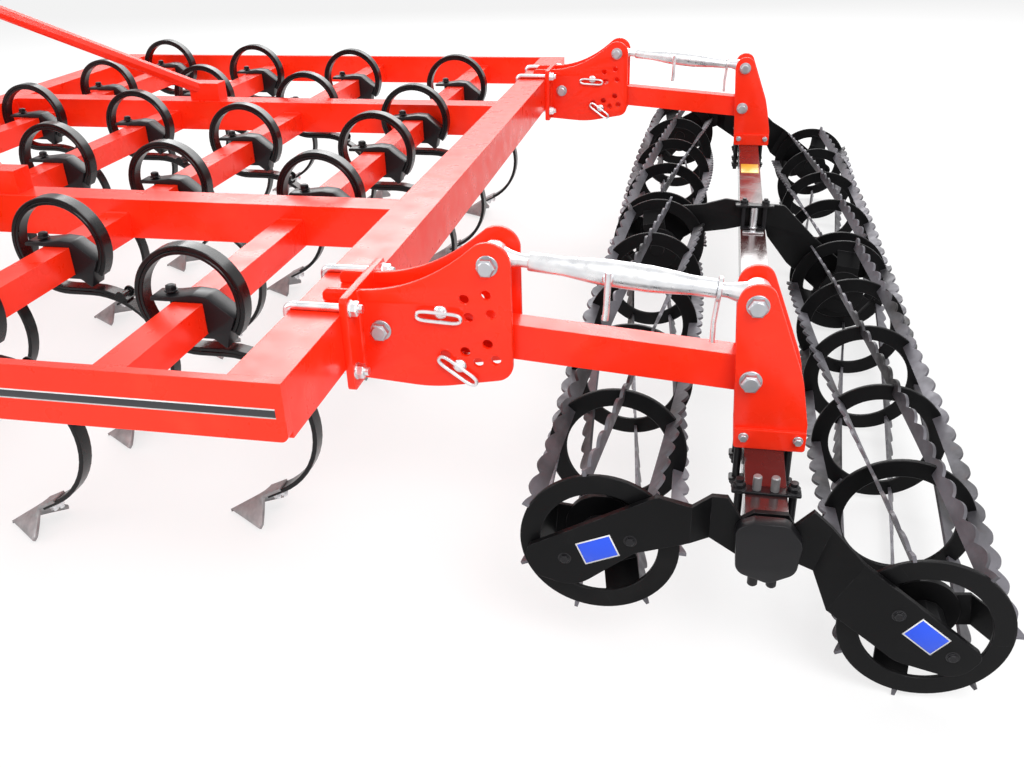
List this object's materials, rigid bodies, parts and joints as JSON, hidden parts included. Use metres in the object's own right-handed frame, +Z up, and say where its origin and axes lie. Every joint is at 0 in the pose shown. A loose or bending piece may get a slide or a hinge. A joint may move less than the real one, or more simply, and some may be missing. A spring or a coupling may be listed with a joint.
{
  "type": "mounted field cultivator with spring tines and a tandem cage roller",
  "caption": "Mounted field cultivator: a rectangular frame with rows of sprung loop tines and shares, hitch mast, and a tandem cage roller on adjustable swing arms.",
  "frame": {"origin": "on the ground under the middle of the machine's outline", "axes": "+X forward, the way it is towed; +Y to the machine's left; +Z up"},
  "size_m": [3.318, 2.97, 1.119],
  "materials": {
    "red_paint": "gloss enamel, orange red",
    "black_paint": "satin black enamel",
    "spring_steel": "black enamelled spring steel",
    "black_casting": "black cast metal",
    "share_steel": "forged steel, clear lacquer",
    "zinc": "bright zinc plate"
  },
  "bodies": {
    "frame": {"rear_beam": "red_paint", "front_beam": "red_paint", "longitudinal_left": "red_paint", "longitudinal_right": "red_paint", "side_bar_left": "red_paint", "side_bar_right": "red_paint", "tine_bar_row_1": "red_paint", "tine_bar_row_2": "red_paint", "tine_bar_row_3": "red_paint", "tine_bar_row_4": "red_paint", "tine_springs_row_1": "spring_steel", "tine_springs_row_2": "spring_steel", "tine_springs_row_3": "spring_steel", "tine_springs_row_4": "spring_steel", "tine_helpers_row_1": "spring_steel", "tine_helpers_row_2": "spring_steel", "tine_helpers_row_3": "spring_steel", "tine_helpers_row_4": "spring_steel", "tine_clamps_row_1": "black_casting", "tine_clamps_row_2": "black_casting", "tine_clamps_row_3": "black_casting", "tine_clamps_row_4": "black_casting", "shares_row_1": "share_steel", "shares_row_2": "share_steel", "shares_row_3": "share_steel", "shares_row_4": "share_steel", "roller_brackets": "red_paint", "bracket_ubolts": "zinc", "bracket_bolts": "zinc", "depth_pins": "zinc", "lower_hitch_plates": "red_paint", "mast_legs": "red_paint", "mast_head": "red_paint", "mast_stays": "red_paint"},
    "arm_left": {"arm_left": "red_paint"},
    "arm_right": {"arm_right": "red_paint"},
    "link_left": {"turnbuckle_left": "zinc"},
    "link_right": {"turnbuckle_right": "zinc"},
    "carrier": {"cheeks": "red_paint", "cheek_bolts": "zinc", "cross_tube": "black_paint", "end_arms": "black_paint", "middle_arms": "black_paint"},
    "roller_front_left": {"roller_front_left": "black_paint"},
    "roller_front_right": {"roller_front_right": "black_paint"},
    "roller_rear_left": {"roller_rear_left": "black_paint"},
    "roller_rear_right": {"roller_rear_right": "black_paint"}
  },
  "joints": [
    {"name": "arm_left_swing", "type": "hinge", "parent": "frame", "child": "arm_left", "pos_m": [-0.535, 1.106, 0.498], "axis": [0, -1, 0], "range_deg": [-4.1, 2]},
    {"name": "arm_right_swing", "type": "hinge", "parent": "frame", "child": "arm_right", "pos_m": [-0.535, -1.106, 0.498], "axis": [0, -1, 0], "range_deg": [-4.1, 2]},
    {"name": "link_left_swing", "type": "hinge", "parent": "frame", "child": "link_left", "pos_m": [-0.743, 1.106, 0.635], "axis": [0, -1, 0], "range_deg": [-6, 3]},
    {"name": "link_right_swing", "type": "hinge", "parent": "frame", "child": "link_right", "pos_m": [-0.743, -1.106, 0.635], "axis": [0, -1, 0], "range_deg": [-6, 3]},
    {"name": "carrier_swing", "type": "hinge", "parent": "arm_left", "child": "carrier", "pos_m": [-1.214, 1.106, 0.442], "axis": [0, -1, 0], "range_deg": [-2.2, 4.5]},
    {"name": "roller_front_left_spin", "type": "hinge", "parent": "carrier", "child": "roller_front_left", "pos_m": [-0.979, 0.65, 0.258], "axis": [0, 1, 0], "continuous": true},
    {"name": "roller_front_right_spin", "type": "hinge", "parent": "carrier", "child": "roller_front_right", "pos_m": [-0.979, -0.8, 0.258], "axis": [0, 1, 0], "continuous": true},
    {"name": "roller_rear_left_spin", "type": "hinge", "parent": "carrier", "child": "roller_rear_left", "pos_m": [-1.509, 0.65, 0.15], "axis": [0, 1, 0], "continuous": true},
    {"name": "roller_rear_right_spin", "type": "hinge", "parent": "carrier", "child": "roller_rear_right", "pos_m": [-1.509, -0.8, 0.15], "axis": [0, 1, 0], "continuous": true}
  ],
  "couplings": [
    {"joint": "arm_right_swing", "follows": "arm_left_swing", "ratio": 1},
    {"joint": "link_left_swing", "follows": "arm_left_swing", "ratio": 1.44},
    {"joint": "link_right_swing", "follows": "arm_left_swing", "ratio": 1.44},
    {"joint": "carrier_swing", "follows": "arm_left_swing", "ratio": -1.064}
  ]
}
